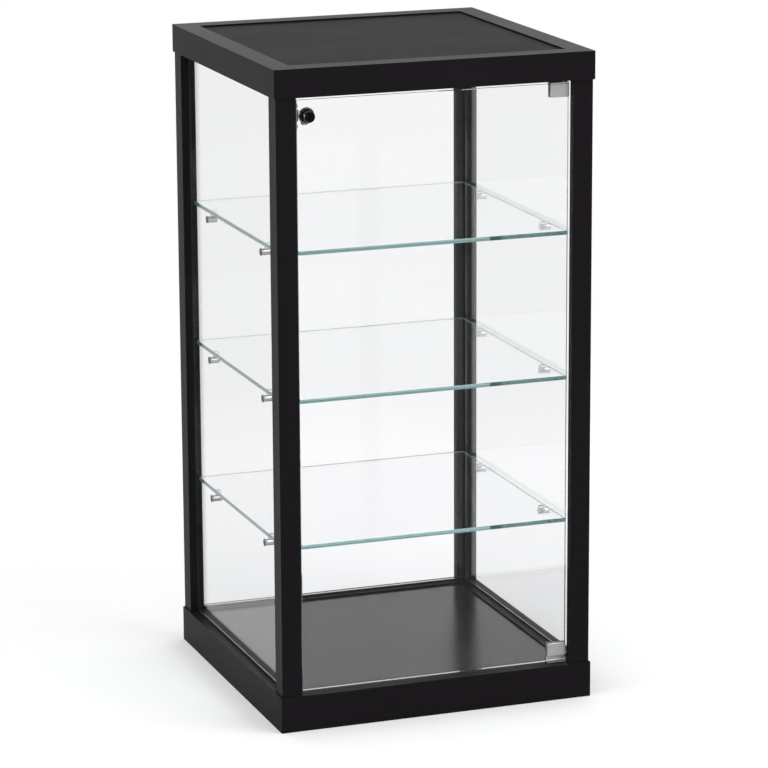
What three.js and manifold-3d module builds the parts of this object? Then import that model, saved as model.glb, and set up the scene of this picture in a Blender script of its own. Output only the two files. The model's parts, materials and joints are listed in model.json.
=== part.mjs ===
// Pedestal display case: a square glass cabinet held in a black frame, with three glass shelves on
// bonded pins and one framed-in glass door that turns on pivot hinges and has a cam lock.
// Millimetres, +Z up. The origin is the centre of the footprint on the floor. The front faces -Y.
import * as THREE from 'three';
import { mergeVertices } from 'three/addons/utils/BufferGeometryUtils.js';
import Module from 'manifold-3d';

const wasm = await Module();
wasm.setup();

// ---- driving dimensions ----
const WIDTH = 400; // X, over the cap and base frames
const DEPTH = 400; // Y
const HEIGHT = 800; // Z, floor to the rim of the cap
const FIT = 0.3; // clearance round a piece that is held by another
const LAID = 0.05; // under a piece that lies on another

// folded steel frames of the cap and the base
const CAP_HEIGHT = 34;
const BASE_HEIGHT = 44;
const SHEET = 2;
const OVERHANG = 2; // the frames stand this far proud of the posts
const LEDGE = 8; // inner ledge that carries the drop-in panel
const PANEL_THICKNESS = 3;
const PANEL_RECESS = 2; // panel face below the rim of its frame

// extruded aluminium posts
const POST = 25; // width of each leg of the L
const POST_LEG = 9.5; // thickness of the legs
const POST_WALL = 1.6;
const SCREW_PORT_RADIUS = 2.1;

// glazing
const GLASS = 4; // side panes, back pane and door
const SHELF_GLASS = 5;
const ARRIS = 0.4; // ground chamfer along every glass edge
const GASKET_LIP = 0.7; // rubber between the glass and the legs of the posts
const GASKET_SEAT = 2; // rubber between the glass edge and the metal

// shelves and their pins
const COMPARTMENT_CLEAR = 174; // free height under each shelf
const SHELF_NAMES = ['lower', 'middle', 'upper'];
const SHELF_SIDE_GAP = 4.5; // shelf edge to side pane
const SHELF_BACK_GAP = 5; // shelf edge to back pane
const SHELF_FRONT_SETBACK = 7; // shelf edge behind the face of the front posts
const SHELF_PIN_RADIUS = 4;
const SHELF_PIN_LENGTH = 13;
const SHELF_PIN_INSET = 66; // pin axis from the front or back edge of its shelf
const SHELF_PAD_HEIGHT = 2.5; // clear pad between pin and shelf
const SHELF_PAD_WIDTH = 6;

// door
const DOOR_GAP_TOP = 4.5;
const DOOR_GAP_BOTTOM = 2.5;
const DOOR_GAP_FREE = 4.5; // at the lock side
const DOOR_GAP_HINGE = 1.5;
const HINGE_AXIS_INSET = 8; // pivot axis from the face of the hinge post

// pivot hinges
const HINGE_PLATE_WIDTH = 24;
const HINGE_PLATE_HEIGHT = 16;
const HINGE_PLATE = 2.2; // thickness
const HINGE_PLATE_REACH = 6; // plate past the pivot axis, towards the post
const HINGE_PLATE_LIFT = 7; // lower plate above the bottom edge of the glass
const HINGE_PLATE_CORNER = 1.2;
const HINGE_WEB = 1.2; // bracket leaf that wraps over the glass edge
const HINGE_BOSS_RADIUS = 4;
const HINGE_SCREW_RADIUS = 1.5;
const PIVOT_RADIUS = 3;
const PIVOT_LENGTH = 7;
const PIVOT_TAIL_RADIUS = 1.8;
const BUSH_WALL = 1.2;
const BUSH_FLANGE = 0.8;
const BUSH_FLANGE_RADIUS = 6;
const BUSH_LENGTH = 4;
const PIVOT_CLEARANCE = 0.3;

// cam lock
const LOCK_INSET = 11.5; // lock axis from the free edge of the door
const LOCK_DROP = 18.5; // lock axis below the top edge of the door
const LOCK_PROTRUSION = 12.5; // key face in front of the glass
const LOCK_BARREL_RADIUS = 6.75;
const LOCK_NECK_RADIUS = 6.4;
const LOCK_FLANGE_RADIUS = 9.8; // chrome rose against the glass
const LOCK_FLANGE = 1.2;
const LOCK_COLLAR_RADIUS = 8.35; // black ring round the barrel, on the rose
const LOCK_COLLAR = 2.4;
const LOCK_CHAMFER = 0.6; // round the front edges of the rose and the ring
const LOCK_HEAD_RADIUS = 6.1; // black key face
const LOCK_HEAD_DEPTH = 3;
const LOCK_PLUG_RADIUS = 4.3;
const LOCK_NUT = 3;
const LOCK_NUT_FLATS = 14.5;
const KEYWAY = [1.3, 6, 2.2]; // width, height, depth
const CAM_LENGTH = 12; // axis to tip
const CAM_WIDTH = 8;
const CAM_THICKNESS = 1.8;
const KEEPER_SHEET = 1.5;
const KEEPER_HEIGHT = 34;
const KEEPER_TONGUE_HEIGHT = 14;
const KEEPER_OVERLAP = 2.9; // tongue behind the free edge of the door
const KEEPER_TONGUE = 3; // thickness
const KEEPER_SETBACK = 1; // flange behind the front face of the post

// screws
const SCREW_SHANK_RADIUS = 1.9;
const SCREW_GRIP = 20; // shank inside the post
const SCREW_HEAD_RADIUS = 4.25;
const SCREW_HEAD = 2.8;
const SMALL_SHANK_RADIUS = 1.3;
const SMALL_HEAD_RADIUS = 2.6;
const SMALL_HEAD = 1.6;

const FINE = 28; // facets of the parts that show
const COARSE = 14; // facets of screws and pins

// ---- sizes and places that follow ----
const FRAME_WIDTH = OVERHANG + POST;
const POST_HALF_X = WIDTH / 2 - OVERHANG; // outer face of the posts
const POST_HALF_Y = DEPTH / 2 - OVERHANG;
const OPEN_HALF_X = POST_HALF_X - POST; // inner face of the posts
const OPEN_HALF_Y = POST_HALF_Y - POST;
const PORT_X = POST_HALF_X - POST_LEG / 2; // screw ports in the corners of the posts
const PORT_Y = POST_HALF_Y - POST_LEG / 2;
const REBATE_X = POST_HALF_X - POST_LEG; // inner faces of the legs, which the glass stands in
const REBATE_Y = POST_HALF_Y - POST_LEG;
const GLASS_SEAT = FIT + GASKET_LIP; // leg to glass
const GLAZING_X = REBATE_X - GLASS_SEAT - GLASS / 2; // middle plane of the side panes
const GLAZING_Y = REBATE_Y - GLASS_SEAT - GLASS / 2; // middle plane of the back pane and the door
const POSTS_BOTTOM = BASE_HEIGHT;
const POSTS_TOP = HEIGHT - CAP_HEIGHT;
const DECK_TOP = BASE_HEIGHT - PANEL_RECESS;
const DOOR_BOTTOM = POSTS_BOTTOM + DOOR_GAP_BOTTOM;
const DOOR_TOP = POSTS_TOP - DOOR_GAP_TOP;
const DOOR_LEFT = -OPEN_HALF_X + DOOR_GAP_FREE;
const DOOR_RIGHT = OPEN_HALF_X - DOOR_GAP_HINGE;
const HINGE_X = OPEN_HALF_X - HINGE_AXIS_INSET;
const LOCK_X = DOOR_LEFT + LOCK_INSET;
const LOCK_Z = DOOR_TOP - LOCK_DROP;
const BUSH_BORE_RADIUS = PIVOT_RADIUS + PIVOT_CLEARANCE;
const BUSH_RADIUS = BUSH_BORE_RADIUS + BUSH_WALL;
const LOCK_NECK_BACK = -GLASS - FIT - LOCK_NUT - FIT; // behind the front face of the glass
const CAM_FRONT = LOCK_NECK_BACK - 0.2;

// ---- materials ----
const finish = (color, roughness, metalness, extra = {}) =>
  new THREE.MeshStandardMaterial({ color, roughness, metalness, flatShading: true, ...extra });
const blackCoat = () => finish(0x1e1c1f, 0.42, 0.2);
const blackPanel = () => finish(0x2a292b, 0.5, 0);
const clearGlass = () => finish(0xdcece8, 0.02, 0, { transparent: true, opacity: 0.25 });
const chrome = () => finish(0xd4d4d8, 0.12, 1);
const steel = () => finish(0x9b9ca0, 0.3, 1);
const blackRubber = () => finish(0x141415, 0.8, 0);
const blackPlastic = () => finish(0x17171a, 0.35, 0);

// ---- geometry helpers ----
function weld(geometry) {
  geometry.deleteAttribute('normal');
  geometry.deleteAttribute('uv');
  const welded = mergeVertices(geometry);
  const corners = Array.from(welded.index.array);
  const kept = [];
  for (let i = 0; i < corners.length; i += 3) {
    const [a, b, c] = corners.slice(i, i + 3);
    if (a !== b && b !== c && c !== a) kept.push(a, b, c);
  }
  welded.setIndex(kept);
  return welded;
}

function toSolid(geometry) {
  const welded = geometry.index && !geometry.attributes.normal ? geometry : weld(geometry);
  return new wasm.Manifold(new wasm.Mesh({
    numProp: 3,
    vertProperties: new Float32Array(welded.attributes.position.array),
    triVerts: new Uint32Array(welded.index.array),
  }));
}

function toGeometry(solid) {
  const { vertProperties, triVerts } = solid.getMesh();
  const geometry = new THREE.BufferGeometry();
  geometry.setAttribute('position', new THREE.BufferAttribute(vertProperties, 3));
  geometry.setIndex(new THREE.BufferAttribute(triVerts, 1));
  return geometry;
}

const joined = (first, ...more) =>
  toGeometry(more.reduce((sum, piece) => sum.add(toSolid(piece)), toSolid(first)));
const cutFrom = (body, ...tools) =>
  toGeometry(tools.reduce((rest, tool) => rest.subtract(toSolid(tool)), toSolid(body)));

function mesh(name, geometry, material, [x, y, z] = [0, 0, 0]) {
  const welded = geometry.index && !geometry.attributes.normal ? geometry : weld(geometry);
  const piece = new THREE.Mesh(welded, material);
  piece.name = name;
  piece.position.set(x, y, z);
  return piece;
}

// a solid of revolution about Y: the outline is [radius, y] from the axis or round a closed loop
const turned = (outline, facets = FINE) =>
  new THREE.LatheGeometry(outline.map(([r, y]) => new THREE.Vector2(r, y)), facets);
const closed = (outline) => [...outline, outline[0]];

// a rod along Z between two heights
function rod(radius, bottom, top, facets = FINE) {
  const bar = new THREE.CylinderGeometry(radius, radius, top - bottom, facets);
  return bar.rotateX(Math.PI / 2).translate(0, 0, (bottom + top) / 2);
}

// a block between two places on each axis
function block([left, right], [front, back], [bottom, top]) {
  return new THREE.BoxGeometry(right - left, back - front, top - bottom)
    .translate((left + right) / 2, (front + back) / 2, (bottom + top) / 2);
}

function rectangle(width, height, corner = 0) {
  const [x, y] = [width / 2, height / 2];
  const shape = new THREE.Shape();
  if (corner === 0) {
    return shape.moveTo(-x, -y).lineTo(x, -y).lineTo(x, y).lineTo(-x, y).closePath();
  }
  shape.absarc(x - corner, -y + corner, corner, -Math.PI / 2, 0);
  shape.absarc(x - corner, y - corner, corner, 0, Math.PI / 2);
  shape.absarc(-x + corner, y - corner, corner, Math.PI / 2, Math.PI);
  shape.absarc(-x + corner, -y + corner, corner, Math.PI, 1.5 * Math.PI);
  return shape;
}

function roundHole(x, y, radius) {
  return new THREE.Path().absarc(x, y, radius, 0, 2 * Math.PI, true);
}

// a plate with its faces at z = 0 and z = thickness and a small chamfer along both outlines
function plate(shape, thickness, chamfer, curveSegments = 12) {
  const bevelled = new THREE.ExtrudeGeometry(shape, {
    depth: thickness - 2 * chamfer,
    bevelEnabled: chamfer > 0,
    bevelThickness: chamfer,
    bevelSize: chamfer,
    bevelOffset: -chamfer,
    bevelSegments: 1,
    curveSegments,
  });
  return bevelled.translate(0, 0, chamfer);
}

// stands a plate up so that its outline's y runs along Z and its thickness along -Y
const upright = (geometry) => geometry.rotateX(Math.PI / 2);

// ---- cap and base frames ----
// the folded section, as [inset from the outer face, height]: an open channel that faces inwards,
// with a step and a ledge for the panel at its inner top edge
function frameSection(bottom, top) {
  const ledgeTop = top - PANEL_RECESS - PANEL_THICKNESS;
  return [
    [0, bottom],
    [0, top],
    [FRAME_WIDTH, top],
    [FRAME_WIDTH, ledgeTop],
    [FRAME_WIDTH + LEDGE, ledgeTop],
    [FRAME_WIDTH + LEDGE, ledgeTop - SHEET],
    [FRAME_WIDTH - SHEET, ledgeTop - SHEET],
    [FRAME_WIDTH - SHEET, top - SHEET],
    [SHEET, top - SHEET],
    [SHEET, bottom + SHEET],
    [FRAME_WIDTH, bottom + SHEET],
    [FRAME_WIDTH, bottom],
  ];
}

// carries a section round the rectangle of the plan with mitred corners: a four-sided revolve of
// the section makes a square ring, and its corners then move out to the corners of the plan
function mitredRing(section) {
  const half = Math.min(WIDTH, DEPTH) / 2;
  const outline = section.map(([inset, z]) => [(half - inset) * Math.SQRT2, z]);
  const ring = turned(closed(outline), 4).rotateX(Math.PI / 2).rotateZ(Math.PI / 4);
  const corners = ring.attributes.position;
  for (let i = 0; i < corners.count; i += 1) {
    const [x, y] = [corners.getX(i), corners.getY(i)];
    corners.setXY(i, x + Math.sign(x) * (WIDTH / 2 - half), y + Math.sign(y) * (DEPTH / 2 - half));
  }
  return ring;
}

const CORNERS = [
  { name: 'front_left', x: -1, y: -1, turn: 0 },
  { name: 'front_right', x: 1, y: -1, turn: Math.PI / 2 },
  { name: 'back_right', x: 1, y: 1, turn: Math.PI },
  { name: 'back_left', x: -1, y: 1, turn: -Math.PI / 2 },
];

// the flange that the posts meet has a screw hole at each post and the bore of the pivot bush
function frame(name, bottom, top, flangeBottom) {
  const [low, high] = [flangeBottom - 1, flangeBottom + SHEET + 1];
  const screwHoles = CORNERS.map(({ x, y }) =>
    rod(SCREW_SHANK_RADIUS + FIT, low, high, COARSE).translate(x * PORT_X, y * PORT_Y, 0));
  const bushHole = rod(BUSH_RADIUS + FIT, low, high).translate(HINGE_X, -GLAZING_Y, 0);
  const ring = mitredRing(frameSection(bottom, top));
  return mesh(name, cutFrom(ring, ...screwHoles, bushHole), blackCoat());
}

function panel(name, frameTop) {
  const outline = rectangle(WIDTH - 2 * (FRAME_WIDTH + FIT), DEPTH - 2 * (FRAME_WIDTH + FIT));
  const bottom = frameTop - PANEL_RECESS - PANEL_THICKNESS;
  return mesh(name, plate(outline, PANEL_THICKNESS, ARRIS), blackPanel(), [0, 0, bottom]);
}

// ---- posts ----
// the extruded section, from its outer corner at 0, 0: an L of two hollow legs, whose inner faces
// make the rebate for the glass, with a round screw port in the solid corner
function postSection() {
  const shape = new THREE.Shape();
  shape.moveTo(0, 0).lineTo(POST, 0).lineTo(POST, POST_LEG).lineTo(POST_LEG, POST_LEG);
  shape.lineTo(POST_LEG, POST).lineTo(0, POST).closePath();
  shape.holes.push(roundHole(POST_LEG / 2, POST_LEG / 2, SCREW_PORT_RADIUS));
  const across = [POST_WALL, POST_LEG - POST_WALL];
  const along = [POST_LEG, POST - POST_WALL];
  shape.holes.push(legHollow(along, across), legHollow(across, along));
  return shape;
}

function legHollow([left, right], [front, back]) {
  return new THREE.Path().moveTo(left, front).lineTo(left, back).lineTo(right, back)
    .lineTo(right, front).closePath();
}

function post({ name, x, y, turn }) {
  const length = POSTS_TOP - POSTS_BOTTOM;
  const bar = plate(postSection(), length, 0, 8);
  bar.rotateZ(turn).translate(x * POST_HALF_X, y * POST_HALF_Y, POSTS_BOTTOM);
  const drilled = name === 'front_left' ? cutFrom(bar, ...keeperScrewHoles()) : bar;
  return mesh(`post_${name}`, drilled, blackCoat());
}

// ---- screws ----
// a pan-head screw on the Y axis: the head's underside is at 0, the shank runs to -length
function screw(shankRadius, length, headRadius, head) {
  return turned([
    [0, -length],
    [shankRadius - 0.5, -length],
    [shankRadius, -length + 1],
    [shankRadius, 0],
    [headRadius, 0],
    [headRadius, head * 0.5],
    [headRadius * 0.7, head],
    [0, head],
  ], COARSE);
}

// one screw through each frame flange into each end of each post
function postScrews({ name, x, y }) {
  const length = SHEET + SCREW_GRIP;
  const make = () => screw(SCREW_SHANK_RADIUS, length, SCREW_HEAD_RADIUS, SCREW_HEAD);
  const [px, py] = [x * PORT_X, y * PORT_Y];
  const low = make().rotateX(-Math.PI / 2);
  const high = make().rotateX(Math.PI / 2);
  return [
    mesh(`base_screw_${name}`, low, steel(), [px, py, POSTS_BOTTOM - SHEET]),
    mesh(`cap_screw_${name}`, high, steel(), [px, py, POSTS_TOP + SHEET]),
  ];
}

// ---- fixed glazing: the side panes stop against the back pane ----
const PANE_HEIGHT = POSTS_TOP - POSTS_BOTTOM - 2 * (GASKET_SEAT + FIT);
const MIDDLE_Z = (POSTS_TOP + POSTS_BOTTOM) / 2;
const BACK_PANE_END = REBATE_X - GLASS_SEAT;
const SIDE_PANE_FRONT = REBATE_Y - GLASS_SEAT;
const SIDE_PANE_BACK = GLAZING_Y - GLASS / 2 - FIT - GLASS_SEAT;

// each pane is made in its own frame, along X between its two ends, with the outside at +Y
const PANES = {
  left: {
    ends: [-SIDE_PANE_FRONT, SIDE_PANE_BACK],
    openHalf: OPEN_HALF_Y,
    turn: Math.PI / 2,
    place: [-GLAZING_X, 0, MIDDLE_Z],
  },
  right: {
    ends: [-SIDE_PANE_BACK, SIDE_PANE_FRONT],
    openHalf: OPEN_HALF_Y,
    turn: -Math.PI / 2,
    place: [GLAZING_X, 0, MIDDLE_Z],
  },
  back: {
    ends: [-BACK_PANE_END, BACK_PANE_END],
    openHalf: OPEN_HALF_X,
    turn: 0,
    place: [0, GLAZING_Y, MIDDLE_Z],
  },
};

function paneGlass([from, to]) {
  return upright(plate(rectangle(to - from, PANE_HEIGHT), GLASS, ARRIS))
    .translate((from + to) / 2, GLASS / 2, 0);
}

// rubber round the pane: a lip behind each leg that closes over the end of the glass, and a flat
// seat under the bottom edge and over the top edge
function paneGasket([from, to], openHalf) {
  const [inside, outside] = [-GLASS / 2, GLASS / 2 + GLASS_SEAT];
  const groove = PANE_HEIGHT / 2 + FIT;
  const height = groove + GASKET_SEAT;
  return cutFrom(
    block([from - GLASS_SEAT, to + GLASS_SEAT], [inside, outside], [-height, height]),
    block([from - FIT, to + FIT], [inside - 1, outside - GASKET_LIP], [-groove, groove]),
    block([-openHalf, openHalf], [inside - 1, outside + 1], [-groove, groove]),
  );
}

function fixedPane(name) {
  const { ends, openHalf, turn, place } = PANES[name];
  const glass = mesh(`${name}_pane`, paneGlass(ends), clearGlass(), place);
  const gasket = mesh(`${name}_gasket`, paneGasket(ends, openHalf), blackRubber(), place);
  glass.rotation.z = turn;
  gasket.rotation.z = turn;
  return [glass, gasket];
}

// ---- shelves ----
const SHELF_HALF_X = GLAZING_X - GLASS / 2 - SHELF_SIDE_GAP;
const SHELF_FRONT = -OPEN_HALF_Y + SHELF_FRONT_SETBACK;
const SHELF_BACK = GLAZING_Y - GLASS / 2 - SHELF_BACK_GAP;
const shelfBottom = (level) => DECK_TOP + COMPARTMENT_CLEAR + level * (COMPARTMENT_CLEAR + SHELF_GLASS);

function shelf(name, level) {
  const outline = rectangle(2 * SHELF_HALF_X, SHELF_BACK - SHELF_FRONT, 1);
  const place = [0, (SHELF_FRONT + SHELF_BACK) / 2, shelfBottom(level)];
  return mesh(`shelf_${name}`, plate(outline, SHELF_GLASS, ARRIS, 2), clearGlass(), place);
}

// a chrome stub bonded to the pane, along X from 0 inwards, with a clear pad that rises to the shelf
function shelfPin() {
  const r = SHELF_PIN_RADIUS;
  const stub = turned([
    [0, 0],
    [r + 0.6, 0],
    [r + 0.6, 0.8],
    [r, 1.2],
    [r, SHELF_PIN_LENGTH - 0.6],
    [r - 0.6, SHELF_PIN_LENGTH],
    [0, SHELF_PIN_LENGTH],
  ], COARSE).rotateZ(-Math.PI / 2);
  const rise = r + SHELF_PAD_HEIGHT;
  const pad = plate(rectangle(SHELF_PAD_WIDTH, SHELF_PAD_WIDTH), rise, 0);
  pad.translate(SHELF_PIN_LENGTH - 1 - SHELF_PAD_WIDTH / 2, 0, 0);
  return joined(stub, pad);
}

function shelfPins(name, level) {
  const z = shelfBottom(level) - SHELF_PAD_HEIGHT - SHELF_PIN_RADIUS;
  const rows = { front: SHELF_FRONT + SHELF_PIN_INSET, back: SHELF_BACK - SHELF_PIN_INSET };
  const wall = GLAZING_X - GLASS / 2;
  return Object.entries(rows).flatMap(([row, y]) => [
    mesh(`shelf_pin_${name}_${row}_left`, shelfPin(), chrome(), [-wall, y, z]),
    mesh(`shelf_pin_${name}_${row}_right`, shelfPin().rotateZ(Math.PI), chrome(), [wall, y, z]),
  ]);
}

// ---- door: places are from the pivot axis ----
const HINGE_SCREW_X = HINGE_PLATE_REACH - HINGE_PLATE_WIDTH / 2;
const HINGES = {
  top: {
    way: 1,
    edge: DOOR_TOP,
    plateMiddle: DOOR_TOP - HINGE_PLATE_HEIGHT / 2,
    rail: POSTS_TOP,
  },
  bottom: {
    way: -1,
    edge: DOOR_BOTTOM,
    plateMiddle: DOOR_BOTTOM + HINGE_PLATE_LIFT + HINGE_PLATE_HEIGHT / 2,
    rail: POSTS_BOTTOM,
  },
};

function doorGlass() {
  const [left, right] = [DOOR_LEFT - HINGE_X, DOOR_RIGHT - HINGE_X];
  const shape = new THREE.Shape();
  shape.moveTo(left, DOOR_BOTTOM).lineTo(right, DOOR_BOTTOM);
  shape.lineTo(right, DOOR_TOP).lineTo(left, DOOR_TOP).closePath();
  shape.holes.push(roundHole(LOCK_X - HINGE_X, LOCK_Z, LOCK_NECK_RADIUS + 1));
  for (const { plateMiddle } of Object.values(HINGES)) {
    shape.holes.push(roundHole(HINGE_SCREW_X, plateMiddle, HINGE_BOSS_RADIUS + 1));
  }
  return mesh('door_glass', upright(plate(shape, GLASS, ARRIS)), clearGlass(), [0, GLASS / 2, 0]);
}

// the outer plate of a hinge, with a drilled boss that passes through the glass
function hingeFrontPlate(end) {
  const { plateMiddle } = HINGES[end];
  const outline = rectangle(HINGE_PLATE_WIDTH, HINGE_PLATE_HEIGHT, HINGE_PLATE_CORNER);
  const boss = rod(HINGE_BOSS_RADIUS, -GLASS - FIT / 2, 1);
  const bore = rod(HINGE_SCREW_RADIUS + FIT, -GLASS - 1, 0.8, COARSE);
  const body = cutFrom(joined(plate(outline, HINGE_PLATE, 0.3, 4), boss), bore);
  const place = [HINGE_SCREW_X, -GLASS / 2 - FIT, plateMiddle];
  return mesh(`hinge_front_plate_${end}`, upright(body), chrome(), place);
}

// the inner plate, with a leaf that wraps over the edge of the glass and carries the pivot pin
function hingeBracket(end) {
  const { way, edge, plateMiddle } = HINGES[end];
  const [front, back] = [-GLASS / 2 - FIT - HINGE_PLATE, GLASS / 2 + FIT + HINGE_PLATE];
  const leafInner = edge + way * FIT;
  const leafOuter = leafInner + way * HINGE_WEB;
  const plateEnd = plateMiddle - way * HINGE_PLATE_HEIGHT / 2;
  const profile = new THREE.Shape();
  profile.moveTo(front, leafInner).lineTo(front, leafOuter).lineTo(back, leafOuter);
  profile.lineTo(back, plateEnd).lineTo(back - HINGE_PLATE, plateEnd);
  profile.lineTo(back - HINGE_PLATE, leafInner).closePath();
  const bar = plate(profile, HINGE_PLATE_WIDTH, 0);
  bar.rotateZ(Math.PI / 2).rotateY(Math.PI / 2).translate(HINGE_PLATE_REACH - HINGE_PLATE_WIDTH, 0, 0);
  const pinHole = rod(PIVOT_TAIL_RADIUS + 0.2, leafInner - 3, leafInner + 3, COARSE);
  const screwHole = new THREE.CylinderGeometry(
    HINGE_SCREW_RADIUS + FIT, HINGE_SCREW_RADIUS + FIT, 3 * HINGE_PLATE, COARSE,
  ).translate(HINGE_SCREW_X, back, plateMiddle);
  return mesh(`hinge_bracket_${end}`, cutFrom(bar, pinHole, screwHole), chrome());
}

function hingePin(end) {
  const { way, edge } = HINGES[end];
  const pin = turned([
    [0, -HINGE_WEB],
    [PIVOT_TAIL_RADIUS, -HINGE_WEB],
    [PIVOT_TAIL_RADIUS, 0],
    [PIVOT_RADIUS, 0],
    [PIVOT_RADIUS, PIVOT_LENGTH - 0.6],
    [PIVOT_RADIUS - 0.6, PIVOT_LENGTH],
    [0, PIVOT_LENGTH],
  ]);
  pin.rotateX(way * Math.PI / 2);
  return mesh(`hinge_pin_${end}`, pin, chrome(), [0, 0, edge + way * (FIT + HINGE_WEB)]);
}

function hingeScrew(end) {
  const back = GLASS / 2 + FIT + HINGE_PLATE;
  const length = HINGE_PLATE + FIT + GLASS;
  const body = screw(HINGE_SCREW_RADIUS, length, 2 * HINGE_SCREW_RADIUS, 1.5);
  return mesh(`hinge_screw_${end}`, body, steel(), [HINGE_SCREW_X, back, HINGES[end].plateMiddle]);
}

// the flanged bush in the frame that the pivot pin turns in
function hingeBush(end) {
  const { way, rail } = HINGES[end];
  const bush = turned(closed([
    [BUSH_BORE_RADIUS, -BUSH_FLANGE],
    [BUSH_FLANGE_RADIUS, -BUSH_FLANGE],
    [BUSH_FLANGE_RADIUS, 0],
    [BUSH_RADIUS, 0],
    [BUSH_RADIUS, BUSH_LENGTH],
    [BUSH_BORE_RADIUS, BUSH_LENGTH],
  ])).rotateX(way * Math.PI / 2);
  return mesh(`hinge_bush_${end}`, bush, blackPlastic(), [HINGE_X, -GLAZING_Y, rail]);
}

// ---- lock: profiles are [radius, distance in front of the glass] ----
const LOCK_ROSE_FRONT = FIT + LOCK_FLANGE;

const alongFront = (outline, facets = FINE) =>
  turned(outline.map(([r, ahead]) => [r, -ahead]).reverse(), facets);

function lockBody() {
  const headFloor = LOCK_PROTRUSION - LOCK_HEAD_DEPTH - FIT;
  return mesh('lock_body', alongFront(closed([
    [LOCK_PLUG_RADIUS + FIT, LOCK_NECK_BACK],
    [LOCK_NECK_RADIUS, LOCK_NECK_BACK],
    [LOCK_NECK_RADIUS, FIT],
    [LOCK_FLANGE_RADIUS, FIT],
    [LOCK_FLANGE_RADIUS, LOCK_ROSE_FRONT - LOCK_CHAMFER],
    [LOCK_FLANGE_RADIUS - LOCK_CHAMFER, LOCK_ROSE_FRONT],
    [LOCK_BARREL_RADIUS, LOCK_ROSE_FRONT],
    [LOCK_BARREL_RADIUS, LOCK_PROTRUSION - 0.3],
    [LOCK_BARREL_RADIUS - 0.2, LOCK_PROTRUSION],
    [LOCK_HEAD_RADIUS + FIT, LOCK_PROTRUSION],
    [LOCK_HEAD_RADIUS + FIT, headFloor],
    [LOCK_PLUG_RADIUS + FIT, headFloor],
  ])), chrome());
}

// the black ring that slips over the barrel and lies on the rose
function lockWasher() {
  const [inner, outer] = [LOCK_BARREL_RADIUS + FIT, LOCK_COLLAR_RADIUS];
  const front = LOCK_ROSE_FRONT + LOCK_COLLAR;
  return mesh('lock_washer', alongFront(closed([
    [inner, LOCK_ROSE_FRONT + LAID],
    [outer, LOCK_ROSE_FRONT + LAID],
    [outer, front - LOCK_CHAMFER],
    [outer - LOCK_CHAMFER, front],
    [inner, front],
  ])), blackRubber());
}

function lockNut() {
  const hexagon = new THREE.Shape();
  const corner = LOCK_NUT_FLATS / Math.sqrt(3);
  for (let i = 0; i < 6; i += 1) {
    const angle = Math.PI / 6 + i * Math.PI / 3;
    const point = [corner * Math.cos(angle), corner * Math.sin(angle)];
    if (i === 0) hexagon.moveTo(...point);
    else hexagon.lineTo(...point);
  }
  hexagon.closePath();
  hexagon.holes.push(roundHole(0, 0, LOCK_NECK_RADIUS + 0.2));
  const nut = upright(plate(hexagon, LOCK_NUT, 0)).translate(0, GLASS + FIT + LOCK_NUT, 0);
  return mesh('lock_nut', nut, chrome());
}

function lockPlug() {
  const back = CAM_FRONT - CAM_THICKNESS;
  const plug = alongFront([
    [0, back + 6],
    [SMALL_SHANK_RADIUS + FIT, back + 6],
    [SMALL_SHANK_RADIUS + FIT, back],
    [SMALL_SHANK_RADIUS + 1.2, back],
    [SMALL_SHANK_RADIUS + 1.2, CAM_FRONT],
    [LOCK_PLUG_RADIUS, CAM_FRONT],
    [LOCK_PLUG_RADIUS, LOCK_PROTRUSION - LOCK_HEAD_DEPTH],
    [LOCK_HEAD_RADIUS, LOCK_PROTRUSION - LOCK_HEAD_DEPTH],
    [LOCK_HEAD_RADIUS, LOCK_PROTRUSION - 0.3],
    [LOCK_HEAD_RADIUS - 0.3, LOCK_PROTRUSION],
    [0, LOCK_PROTRUSION],
  ]);
  const [width, height, depth] = KEYWAY;
  const keyway = upright(plate(rectangle(width, height), 2 * depth, 0));
  return mesh('lock_plug', cutFrom(plug, keyway.translate(0, depth - LOCK_PROTRUSION, 0)), blackPlastic());
}

// a flat cam that hangs down when the door is free, and swings behind the keeper to lock it
function lockCam() {
  const half = CAM_WIDTH / 2;
  const shape = new THREE.Shape();
  shape.absarc(0, 0, half, 0, Math.PI);
  shape.lineTo(-half, 1 - CAM_LENGTH).lineTo(1 - half, -CAM_LENGTH);
  shape.lineTo(half - 1, -CAM_LENGTH).lineTo(half, 1 - CAM_LENGTH).closePath();
  shape.holes.push(roundHole(0, 0, SMALL_SHANK_RADIUS + 1.2 + 0.2));
  const cam = upright(plate(shape, CAM_THICKNESS, 0)).translate(0, CAM_THICKNESS - CAM_FRONT, 0);
  return mesh('lock_cam', cam, steel());
}

function lockCamScrew() {
  const body = screw(SMALL_SHANK_RADIUS, 5, SMALL_HEAD_RADIUS + 0.6, SMALL_HEAD);
  return mesh('lock_cam_screw', body, steel(), [0, CAM_THICKNESS - CAM_FRONT + 0.1, 0]);
}

// ---- keeper on the lock post ----
const KEEPER_Z = LOCK_Z + 1;
const KEEPER_FRONT = -POST_HALF_Y + KEEPER_SETBACK;
const KEEPER_BACK = -GLAZING_Y + GLASS / 2 + FIT + KEEPER_TONGUE;
const KEEPER_SCREW_Y = -PORT_Y; // middle of the end face of the leg
const KEEPER_SCREWS = { lower: KEEPER_Z - KEEPER_HEIGHT / 2 + 5, upper: KEEPER_Z + KEEPER_HEIGHT / 2 - 5 };

function keeperScrewHoles() {
  return Object.values(KEEPER_SCREWS).map((z) =>
    rod(SMALL_SHANK_RADIUS + FIT, -2 * POST_WALL, 2 * POST_WALL, COARSE)
      .rotateY(Math.PI / 2).translate(-OPEN_HALF_X, KEEPER_SCREW_Y, z));
}

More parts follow.
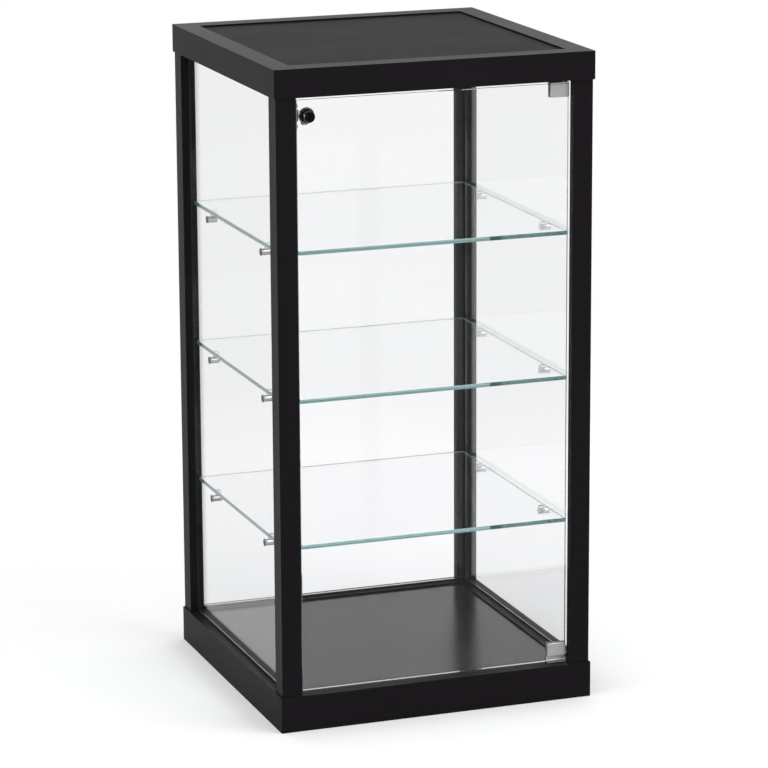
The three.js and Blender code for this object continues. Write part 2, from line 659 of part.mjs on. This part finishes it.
// a steel strike: a flange on the end face of the post's front leg, and a tongue behind the door
// that stops the glass and holds the cam
function lockKeeper() {
  const depth = KEEPER_BACK - KEEPER_FRONT;
  const flange = plate(rectangle(depth, KEEPER_HEIGHT, 0.8), KEEPER_SHEET, 0, 3);
  flange.rotateX(Math.PI / 2).rotateZ(Math.PI / 2);
  flange.translate(-OPEN_HALF_X, (KEEPER_BACK + KEEPER_FRONT) / 2, KEEPER_Z);
  const reach = DOOR_GAP_FREE + KEEPER_OVERLAP;
  const tongue = plate(rectangle(reach - 0.5, KEEPER_TONGUE_HEIGHT, 1), KEEPER_TONGUE, 0.2, 3);
  upright(tongue).translate((reach + 0.5) / 2 - OPEN_HALF_X, KEEPER_BACK, LOCK_Z);
  const holes = Object.values(KEEPER_SCREWS).map((z) =>
    rod(SMALL_SHANK_RADIUS + FIT, -KEEPER_SHEET, 2 * KEEPER_SHEET, COARSE)
      .rotateY(Math.PI / 2).translate(-OPEN_HALF_X, KEEPER_SCREW_Y, z));
  return mesh('lock_keeper', cutFrom(joined(flange, tongue), ...holes), steel());
}

function keeperScrew(which) {
  const body = screw(SMALL_SHANK_RADIUS, 5, SMALL_HEAD_RADIUS, SMALL_HEAD).rotateZ(-Math.PI / 2);
  const place = [-OPEN_HALF_X + KEEPER_SHEET, KEEPER_SCREW_Y, KEEPER_SCREWS[which]];
  return mesh(`keeper_screw_${which}`, body, steel(), place);
}

// ---- assembly ----
function buildCase() {
  const body = new THREE.Group();
  body.add(frame('base_frame', 0, BASE_HEIGHT, BASE_HEIGHT - SHEET));
  body.add(frame('cap_frame', POSTS_TOP, HEIGHT, POSTS_TOP));
  body.add(panel('deck_panel', BASE_HEIGHT), panel('top_panel', HEIGHT));
  for (const corner of CORNERS) body.add(post(corner), ...postScrews(corner));
  for (const name of Object.keys(PANES)) body.add(...fixedPane(name));
  SHELF_NAMES.forEach((name, level) => body.add(shelf(name, level), ...shelfPins(name, level)));
  body.add(hingeBush('top'), hingeBush('bottom'));
  body.add(lockKeeper(), keeperScrew('lower'), keeperScrew('upper'));
  return body;
}

function buildLock() {
  const lock = new THREE.Group();
  lock.position.set(LOCK_X - HINGE_X, -GLASS / 2, LOCK_Z);
  lock.add(lockBody(), lockWasher(), lockNut(), lockPlug(), lockCam(), lockCamScrew());
  return lock;
}

function buildDoor() {
  const door = new THREE.Group();
  door.position.set(HINGE_X, -GLAZING_Y, 0);
  door.add(doorGlass(), buildLock());
  for (const end of Object.keys(HINGES)) {
    door.add(hingeFrontPlate(end), hingeBracket(end), hingePin(end), hingeScrew(end));
  }
  return door;
}

const displayCase = new THREE.Group();
displayCase.add(buildCase(), buildDoor());

export default displayCase;
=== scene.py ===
import json
from math import cos, pi, radians, sin

import bmesh
import bpy
from mathutils import Euler, Matrix, Quaternion, Vector


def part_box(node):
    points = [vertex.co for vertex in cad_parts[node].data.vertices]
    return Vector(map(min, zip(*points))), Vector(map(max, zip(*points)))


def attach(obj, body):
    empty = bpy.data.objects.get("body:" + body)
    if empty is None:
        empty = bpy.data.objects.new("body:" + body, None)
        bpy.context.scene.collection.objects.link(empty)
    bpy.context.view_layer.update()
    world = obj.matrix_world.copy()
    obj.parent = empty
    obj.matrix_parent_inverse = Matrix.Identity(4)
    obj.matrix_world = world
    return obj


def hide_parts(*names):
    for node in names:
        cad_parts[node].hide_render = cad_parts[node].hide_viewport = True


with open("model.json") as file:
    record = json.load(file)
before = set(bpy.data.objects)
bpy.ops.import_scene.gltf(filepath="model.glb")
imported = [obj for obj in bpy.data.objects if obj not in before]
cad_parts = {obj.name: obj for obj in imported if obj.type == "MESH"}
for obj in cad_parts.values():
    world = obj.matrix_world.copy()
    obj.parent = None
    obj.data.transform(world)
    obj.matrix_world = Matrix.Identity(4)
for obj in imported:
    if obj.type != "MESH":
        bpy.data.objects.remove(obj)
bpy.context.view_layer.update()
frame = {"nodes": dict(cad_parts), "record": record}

MM = 0.001

# ---- camera: found by fitting the corners of the frame to the photograph ----
CAMERA_PLACE = (-1.5124, -4.1757, 1.4537)
CAMERA_YAW = 19.969  # degrees, from +Y towards +X
CAMERA_PITCH = 13.747  # degrees, downwards
CAMERA_ROLL = -0.309
LENS = 172.95
SENSOR = 36
CLIP_END = 200

# ---- colours, linear ----
BLACK_COAT = (0.0099, 0.0084, 0.0100)
BLACK_COAT_WORN = (0.0108, 0.0092, 0.0109)
BLACK_BOARD = (0.0115, 0.0108, 0.0118)
BLACK_BOARD_WORN = (0.0130, 0.0123, 0.0134)
RUBBER_BLACK = (0.006, 0.006, 0.0062)
RUBBER_WORN = (0.009, 0.009, 0.0094)
LOCK_FACE = (0.0028, 0.0028, 0.003)
LOCK_FACE_WORN = (0.0045, 0.0045, 0.0048)
CHROME = (0.78, 0.78, 0.80)
CHROME_PAINTED_REFLECTION = (0.05, 0.05, 0.055)  # painted reflection: the dark case mirrored, put into the base colour where the chrome turns away from the eye
HINGE_COLOUR = (0.92, 0.92, 0.94)
STEEL = (0.42, 0.42, 0.44)
# painted reflection: plated steel darker in its base colour where it turns away from the eye, as if
# mirroring the dark case
STEEL_PAINTED_REFLECTION = (0.2, 0.2, 0.21)
PAD_COLOUR = (0.97, 0.98, 0.98)
FLOOR = (0.86, 0.855, 0.86)
WHITE = (1, 1, 1)
BLACK = (0, 0, 0)

# ---- noise in the surfaces, per metre, and the part of its range that is used ----
COAT_PATCHES = 9.0
METAL_PATCHES = 160.0
METAL_STREAKS = 900.0
PAD_HAZE = 400.0
SMEARS = 5.0
MIDDLE = (0.3, 0.7)
BLOOM = (0.35, 0.7)
SMEARED = (0.45, 0.8)
PAINTED_REFLECTION_BLEND = 0.35  # of the Layer Weight that finds where metal turns away, for its painted dark reflection
PAINTED_REFLECTION_TURN = (0.2, 0.65)

# ---- glass ----
PANE_TINT = (0.998, 0.996, 1.0)  # at each face
SHELF_TINT = (1.0, 0.992, 0.997)
GLASS_LIGHT = (0.96, 0.97, 0.97)  # of the soft light that passes a sheet
GLASS_DEPTH_TINT = (0.30, 0.68, 0.66)  # what a long path inside the sheet keeps
PANE_DENSITY = 3.0
SHELF_DENSITY = 3.0
PANE_IOR = 1.37  # the panes mirror little, as if coated
SHELF_IOR = 1.5
PAD_IOR = 1.45
PAD_ROUGHNESS = (0.02, 0.06)
SMEAR_ROUGHNESS = 0.004
GROUND_EDGE = (0.13, 0.27, 0.255)  # the frosted light that a ground edge gives back
GROUND_FACED = 0.15  # how frosted the edge looks from straight ahead
GROUND_GRAZED = 0.7  # and from the side
UPRIGHT = 0.5  # below this lift of its normal a face of a shelf is an edge

# ---- floor and light ----
FLOOR_HALF = 30
FLOOR_LIFT = 0.14
MATT_REACH = (0.9, 1.6)  # from the object, where the matt floor fades to plain white
MIRRORED_FRONT = 0.22  # how bright the floor is in reflections, before the object and behind it
MIRRORED_BACK = 0.7
MIRRORED_REACH = (-0.5, 0.1)  # along Y, from the one to the other
AMBIENT = 0.95
LIGHT_BOUNCES = 80  # a ray that runs inside a shelf meets its faces many times
CLEAR_BOUNCES = 48

# ---- shelf pins ----
PIN_RADIUS = 4 * MM
PIN_LENGTH = 13 * MM
PIN_BEVEL = 0.8 * MM  # at its free end, in two steps
PIN_BEVEL_STEP = (0.3 * MM, 0.2 * MM)
FOOT_RADIUS = PIN_RADIUS + 0.6 * MM
FOOT_SEAT = 0.5 * MM  # the black disc between the foot and the pane
FOOT_END = 0.8 * MM
FOOT_NECK = 1.2 * MM  # where the foot has narrowed to the pin
PAD_DEPTH = 2.5 * MM
PAD_WIDTH = 6 * MM
PAD_SETBACK = 1 * MM  # from the end of the pin
PAD_SUNK = 0.55  # of the pin's radius, where the pad begins above the axis
PAD_ROUND = 0.6 * MM
LATHE_STEPS = 40
SHARP_ANGLE = 35


# ---- node helpers ----
def add_node(tree, kind, inputs=(), **settings):
    """Adds a node with its settings. Each input takes a value or the socket that feeds it."""
    made = tree.nodes.new(kind)
    for key, value in settings.items():
        setattr(made, key, value)
    for key, value in dict(inputs).items():
        if isinstance(value, bpy.types.NodeSocket):
            tree.links.new(value, made.inputs[key])
        else:
            made.inputs[key].default_value = value
    return made


def plainly_seen(tree, rays):
    """1 for what is seen straight, mirrored or through glass, 0 where the ray only brings light."""
    seen = rays["Is Camera Ray"]
    for kind in ("Is Glossy Ray", "Is Transmission Ray"):
        seen = add_node(tree, "ShaderNodeMath", {0: seen, 1: rays[kind]}, operation="MAXIMUM").outputs[0]
    return seen


class Graph:
    """A material's node tree, with one short call per node."""

    def __init__(self, name):
        self.material = bpy.data.materials.new(name)
        self.material.use_nodes = True
        self.tree = self.material.node_tree
        self.tree.nodes.clear()
        self.output = self.node("ShaderNodeOutputMaterial")

    def node(self, kind, inputs=(), **settings):
        return add_node(self.tree, kind, inputs, **settings)

    def math(self, operation, a, b=0.0):
        return self.node("ShaderNodeMath", {0: a, 1: b}, operation=operation).outputs[0]

    def spread(self, value, low, high, to_low=0.0, to_high=1.0, smooth=False):
        kind = "SMOOTHSTEP" if smooth else "LINEAR"
        inputs = {"Value": value, "From Min": low, "From Max": high, "To Min": to_low, "To Max": to_high}
        return self.node("ShaderNodeMapRange", inputs, interpolation_type=kind).outputs["Result"]

    def place(self, stretch=(1, 1, 1)):
        """Object coordinates in metres, times stretch."""
        source = self.node("ShaderNodeTexCoord").outputs["Object"]
        return self.node("ShaderNodeMapping", {"Vector": source, "Scale": stretch}).outputs["Vector"]

    def noise(self, scale, detail=3.0, stretch=(1, 1, 1)):
        inputs = {"Vector": self.place(stretch), "Scale": scale, "Detail": detail}
        return self.node("ShaderNodeTexNoise", inputs).outputs["Fac"]

    def blend(self, factor, a, b):
        """Between two colours. A Mix node has its colours at inputs 6 and 7 and at output 2."""
        inputs = {0: factor, 6: (*a, 1), 7: (*b, 1)}
        return self.node("ShaderNodeMix", inputs, data_type="RGBA").outputs[2]

    def bump(self, height, depth):
        return self.node("ShaderNodeBump", {"Height": height, "Distance": depth}).outputs["Normal"]

    def mix(self, factor, a, b):
        return self.node("ShaderNodeMixShader", {0: factor, 1: a.outputs[0], 2: b.outputs[0]})

    def diffuse(self, colour):
        return self.node("ShaderNodeBsdfDiffuse", {"Color": (*colour, 1)})

    def glow(self, strength):
        return self.node("ShaderNodeEmission", {"Color": (*WHITE, 1), "Strength": strength})

    def finish(self, shader):
        self.tree.links.new(shader.outputs[0], self.output.inputs["Surface"])
        return self.material


def coated(name, colour, worn, specular, rough, grain, depth, stretch=(1, 1, 1)):
    """A satin coat: a fine grain in the bump, patchy roughness and a slightly paler bloom."""
    graph = Graph(name)
    patches = graph.noise(COAT_PATCHES, 4.0, stretch)
    fine = graph.noise(grain, 2.0, stretch)
    return graph.finish(graph.node("ShaderNodeBsdfPrincipled", {
        "Base Color": graph.blend(graph.spread(patches, *BLOOM), colour, worn),
        "Roughness": graph.spread(patches, *MIDDLE, *rough),
        "Specular IOR Level": specular,
        "Normal": graph.bump(fine, depth),
    }))


def metal(name, colour, dark_reflection, rough, depth, stretch=(1, 1, 1)):
    """Plated metal: fine streaks in the bump, patchy roughness, and a painted dark reflection in its
    base colour towards its outline, where it turns away from the eye.
    """
    graph = Graph(name)
    patches = graph.noise(METAL_PATCHES)
    streaks = graph.noise(METAL_STREAKS, 2.0, stretch)
    # painted reflection: the base colour darkens to the mirrored dark case where the metal turns away
    # from the eye
    painted_reflection_fade = graph.node("ShaderNodeLayerWeight", {"Blend": PAINTED_REFLECTION_BLEND}).outputs["Facing"]
    return graph.finish(graph.node("ShaderNodeBsdfPrincipled", {
        "Base Color": graph.blend(graph.spread(painted_reflection_fade, *PAINTED_REFLECTION_TURN, smooth=True), colour, dark_reflection),
        "Roughness": graph.spread(patches, *MIDDLE, *rough),
        "Metallic": 1.0,
        "Normal": graph.bump(streaks, depth),
    }))


def ground(graph, glass):
    """Frosts the upright faces of a sheet that lies flat, the more the flatter they are looked at."""
    normal = graph.node("ShaderNodeNewGeometry").outputs["Normal"]
    lift = graph.node("ShaderNodeSeparateXYZ", {0: normal}).outputs["Z"]
    upright = graph.math("LESS_THAN", graph.math("ABSOLUTE", lift), UPRIGHT)
    facing = graph.node("ShaderNodeLayerWeight", {"Blend": 0.5}).outputs["Facing"]
    frost = graph.math("MULTIPLY", upright, graph.spread(facing, 0.0, 0.7, GROUND_FACED, GROUND_GRAZED))
    return graph.mix(frost, glass, graph.diffuse(GROUND_EDGE))


def sheet_glass(name, tint, density, ior, ground_edges=False):
    """Clear float glass: it bends and mirrors what is seen, greens along a path inside the sheet,
    and lets the soft light through to what stands behind it. Faint smears change its gloss."""
    graph = Graph(name)
    glass = graph.node("ShaderNodeBsdfPrincipled", {
        "Base Color": (*tint, 1),
        "Roughness": graph.spread(graph.noise(SMEARS, 4.0), *SMEARED, 0.0, SMEAR_ROUGHNESS),
        "Transmission Weight": 1.0,
        "IOR": ior,
    })
    if ground_edges:
        glass = ground(graph, glass)
    clear = graph.node("ShaderNodeBsdfTransparent", {"Color": (*GLASS_LIGHT, 1)})
    rays = graph.node("ShaderNodeLightPath").outputs
    light = graph.math("MAXIMUM", rays["Is Shadow Ray"], rays["Is Diffuse Ray"])
    absorbing = graph.node(
        "ShaderNodeVolumeAbsorption", {"Color": (*GLASS_DEPTH_TINT, 1), "Density": density})
    graph.tree.links.new(absorbing.outputs[0], graph.output.inputs["Volume"])
    return graph.finish(graph.mix(light, glass, clear))


def clear_plastic(name):
    graph = Graph(name)
    return graph.finish(graph.node("ShaderNodeBsdfPrincipled", {
        "Base Color": (*PAD_COLOUR, 1),
        "Roughness": graph.spread(graph.noise(PAD_HAZE), *MIDDLE, *PAD_ROUGHNESS),
        "Transmission Weight": 1.0,
        "IOR": PAD_IOR,
    }))


# ---- materials: a coat has specular level, roughness, grain per metre and depth of the grain,
# and a metal has roughness and depth of its streaks ----
FRAME_COAT = coated("frame_coat", BLACK_COAT, BLACK_COAT_WORN, 0.045, (0.36, 0.40), 1500.0, 0.00002)
POST_COAT = coated(
    "post_coat", BLACK_COAT, BLACK_COAT_WORN, 0.05, (0.32, 0.37), 1200.0, 0.00001, stretch=(1, 1, 0.02))
DECK_BOARD = coated("black_panel", BLACK_BOARD, BLACK_BOARD_WORN, 0.23, (0.2, 0.23), 900.0, 0.0000001)
TOP_BOARD = coated("black_top", BLACK_BOARD, BLACK_BOARD_WORN, 0.015, (0.44, 0.48), 900.0, 0.00001)
RUBBER = coated("black_rubber", RUBBER_BLACK, RUBBER_WORN, 0.3, (0.6, 0.75), 1800.0, 0.00002)
NYLON = coated("black_nylon", RUBBER_BLACK, RUBBER_WORN, 0.4, (0.4, 0.5), 1800.0, 0.00001)
LOCK_BLACK = coated("lock_black", LOCK_FACE, LOCK_FACE_WORN, 0.12, (0.3, 0.38), 2200.0, 0.00001)
CHROME_METAL = metal("chrome_metal", CHROME, CHROME_PAINTED_REFLECTION, (0.06, 0.1), 0.0000005)
HINGE_METAL = metal("hinge_metal", HINGE_COLOUR, CHROME_PAINTED_REFLECTION, (0.36, 0.4), 0.0000005)
PLATED_STEEL = metal("plated_steel", STEEL, STEEL_PAINTED_REFLECTION, (0.25, 0.38), 0.00001, stretch=(1, 1, 0.1))
CLEAR_GLASS = sheet_glass("clear_glass", PANE_TINT, PANE_DENSITY, PANE_IOR)
SHELF_GLASS = sheet_glass("shelf_glass", SHELF_TINT, SHELF_DENSITY, SHELF_IOR, ground_edges=True)
CLEAR_PAD = clear_plastic("clear_pad")

BY_SLOT = {
    "frame_coat": FRAME_COAT,
    "post_coat": POST_COAT,
    "black_panel": DECK_BOARD,
    "black_rubber": RUBBER,
    "chrome_metal": CHROME_METAL,
    "plated_steel": PLATED_STEEL,
    "black_nylon": NYLON,
    "lock_black": LOCK_BLACK,
    "clear_glass": CLEAR_GLASS,
}


def paint(piece, material):
    piece.data.materials.clear()
    piece.data.materials.append(material)


for entry in frame["record"]["subparts"]:
    paint(frame["nodes"][entry["node"]], BY_SLOT[entry["material_slot"]])
paint(frame["nodes"]["top_panel"], TOP_BOARD)
for end in ("top", "bottom"):
    paint(frame["nodes"][f"hinge_front_plate_{end}"], HINGE_METAL)
    paint(frame["nodes"][f"hinge_bracket_{end}"], HINGE_METAL)
for level in ("lower", "middle", "upper"):
    paint(frame["nodes"][f"shelf_{level}"], SHELF_GLASS)


def mesh_object(name, shape, material):
    """Puts a finished bmesh into the scene as a painted object, and frees the bmesh."""
    data = bpy.data.meshes.new(name)
    shape.to_mesh(data)
    shape.free()
    piece = bpy.data.objects.new(name, data)
    bpy.context.scene.collection.objects.link(piece)
    paint(piece, material)
    return piece


# ---- shelf pins: a chrome stub, a clear pad and a black disc, in place of each plain solid ----
def lathe(profile):
    """A turned shape along +X: profile is [(distance along X, radius), ...] from axis to axis."""
    shape = bmesh.new()
    turns = [2 * pi * i / LATHE_STEPS for i in range(LATHE_STEPS)]
    rings = []
    for along, radius in profile:
        if radius == 0:
            rings.append([shape.verts.new((along, 0, 0))])
            continue
        rings.append([shape.verts.new((along, radius * cos(t), radius * sin(t))) for t in turns])
    for first, second in zip(rings, rings[1:]):
        for i in range(LATHE_STEPS):
            j = (i + 1) % LATHE_STEPS
            corners = [first[i % len(first)], first[j % len(first)]]
            corners += [second[j % len(second)], second[i % len(second)]]
            shape.faces.new(list(dict.fromkeys(corners)))
    bmesh.ops.recalc_face_normals(shape, faces=shape.faces)
    for face in shape.faces:
        face.smooth = True
    return shape


PIN_PROFILE = [
    (FOOT_SEAT, 0), (FOOT_SEAT, FOOT_RADIUS), (FOOT_END, FOOT_RADIUS), (FOOT_NECK, PIN_RADIUS),
    (PIN_LENGTH - PIN_BEVEL, PIN_RADIUS),
    (PIN_LENGTH - PIN_BEVEL_STEP[0], PIN_RADIUS - PIN_BEVEL_STEP[1]),
    (PIN_LENGTH, PIN_RADIUS - PIN_BEVEL), (PIN_LENGTH, 0),
]
SEAT_PROFILE = [(0, 0), (0, FOOT_RADIUS), (FOOT_SEAT, FOOT_RADIUS), (FOOT_SEAT, 0)]


def pad_shape():
    """The clear block on the pin that the shelf lies on."""
    shape = bmesh.new()
    bmesh.ops.create_cube(shape, size=1)
    top, bottom = PIN_RADIUS + PAD_DEPTH, PIN_RADIUS * PAD_SUNK
    middle = PIN_LENGTH - PAD_SETBACK - PAD_WIDTH / 2
    shape.transform(Matrix.Translation((middle, 0, (top + bottom) / 2))
                    @ Matrix.Diagonal((PAD_WIDTH, PAD_WIDTH, top - bottom, 1)))
    bmesh.ops.bevel(
        shape, geom=shape.edges[:], offset=PAD_ROUND, segments=3, affect="EDGES", profile=0.5)
    return shape


def shelf_pin(node, mirrored):
    low, high = (Vector(corner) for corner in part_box(node))
    pane_x = high.x if mirrored else low.x
    axis_z = high.z - PAD_DEPTH - PIN_RADIUS
    turn = Matrix.Rotation(pi if mirrored else 0, 4, "Z")
    place = Matrix.Translation((pane_x, (low.y + high.y) / 2, axis_z)) @ turn

    def add(ending, shape, material, sharp):
        shape.transform(place)
        piece = mesh_object(node + ending, shape, material)
        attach(piece, "case")
        if sharp:
            piece.data.set_sharp_from_angle(angle=radians(SHARP_ANGLE))
        return piece

    stub = add("_stub", lathe(PIN_PROFILE), CHROME_METAL, sharp=True)
    add("_seat", lathe(SEAT_PROFILE), RUBBER, sharp=True)
    add("_pad", pad_shape(), CLEAR_PAD, sharp=False)
    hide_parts(node)


for node in frame["nodes"]:
    if node.startswith("shelf_pin_"):
        shelf_pin(node, node.endswith("_right"))


# ---- floor ----
def floor_material():
    """Matt white near the object, where it takes the shadow, plain white farther off, and dimmer
    in reflections, as the part of a studio is that no lamp is turned to."""
    graph = Graph("floor_white")
    rays = graph.node("ShaderNodeLightPath").outputs
    seen = plainly_seen(graph.tree, rays)
    spot = graph.node("ShaderNodeTexCoord").outputs["Object"]
    distance = graph.node("ShaderNodeVectorMath", {0: spot}, operation="LENGTH").outputs["Value"]
    far = graph.spread(distance, *MATT_REACH, smooth=True)
    lift = graph.glow(graph.math("MULTIPLY", seen, FLOOR_LIFT))
    matt = graph.node("ShaderNodeAddShader", {0: graph.diffuse(FLOOR).outputs[0], 1: lift.outputs[0]})
    lit = graph.mix(graph.math("MULTIPLY", far, seen), matt, graph.glow(1.0))
    across = graph.node("ShaderNodeSeparateXYZ", {0: spot}).outputs["Y"]
    dimmed = graph.spread(across, *MIRRORED_REACH, 1 - MIRRORED_FRONT, 1 - MIRRORED_BACK, smooth=True)
    mirrored = graph.math("GREATER_THAN", rays["Glossy Depth"], 0.5)
    return graph.finish(graph.mix(graph.math("MULTIPLY", mirrored, dimmed), lit, graph.diffuse(BLACK)))


floor_shape = bmesh.new()
bmesh.ops.create_grid(floor_shape, x_segments=2, y_segments=2, size=FLOOR_HALF)
floor = mesh_object("floor", floor_shape, floor_material())


# ---- light ----
def soft_box(name, place, aim, size, power):
    lamp = bpy.data.lights.new(name, "AREA")
    lamp.shape = "RECTANGLE"
    lamp.size, lamp.size_y = size
    lamp.energy = power
    holder = bpy.data.objects.new(name, lamp)
    holder.location = place
    holder.rotation_euler = (Vector(aim) - Vector(place)).to_track_quat("-Z", "Y").to_euler()
    bpy.context.scene.collection.objects.link(holder)


soft_box("key_light", place=(1.6, -1.8, 3.0), aim=(0, 0, 0.3), size=(1.6, 1.6), power=30)
soft_box("fill_light", place=(-2.6, -0.6, 2.0), aim=(0, 0, 0.4), size=(1.4, 2.0), power=12)


def world_light():
    """Even grey light on everything, and plain white for what is seen, mirrored or looked through."""
    world = bpy.data.worlds.new("studio")
    bpy.context.scene.world = world
    world.use_nodes = True
    tree = world.node_tree
    tree.nodes.clear()
    seen = plainly_seen(tree, add_node(tree, "ShaderNodeLightPath").outputs)
    ambient, white = (
        add_node(tree, "ShaderNodeBackground", {"Color": (*WHITE, 1), "Strength": strength}).outputs[0]
        for strength in (AMBIENT, 1.0))
    mixed = add_node(tree, "ShaderNodeMixShader", {0: seen, 1: ambient, 2: white}).outputs[0]
    add_node(tree, "ShaderNodeOutputWorld", {"Surface": mixed})


world_light()

scene = bpy.context.scene
scene.view_settings.view_transform = "Standard"
scene.cycles.max_bounces = LIGHT_BOUNCES
scene.cycles.glossy_bounces = LIGHT_BOUNCES
scene.cycles.transmission_bounces = LIGHT_BOUNCES
scene.cycles.transparent_max_bounces = CLEAR_BOUNCES

# ---- camera ----
camera_data = bpy.data.cameras.new("camera")
camera_data.lens = LENS
camera_data.sensor_width = SENSOR
camera_data.clip_end = CLIP_END
camera = bpy.data.objects.new("camera", camera_data)
camera.location = CAMERA_PLACE
camera.rotation_mode = "QUATERNION"
aim = Euler((radians(90 - CAMERA_PITCH), 0, -radians(CAMERA_YAW))).to_quaternion()
camera.rotation_quaternion = aim @ Quaternion((0, 0, 1), radians(CAMERA_ROLL))
scene.collection.objects.link(camera)
scene.camera = camera
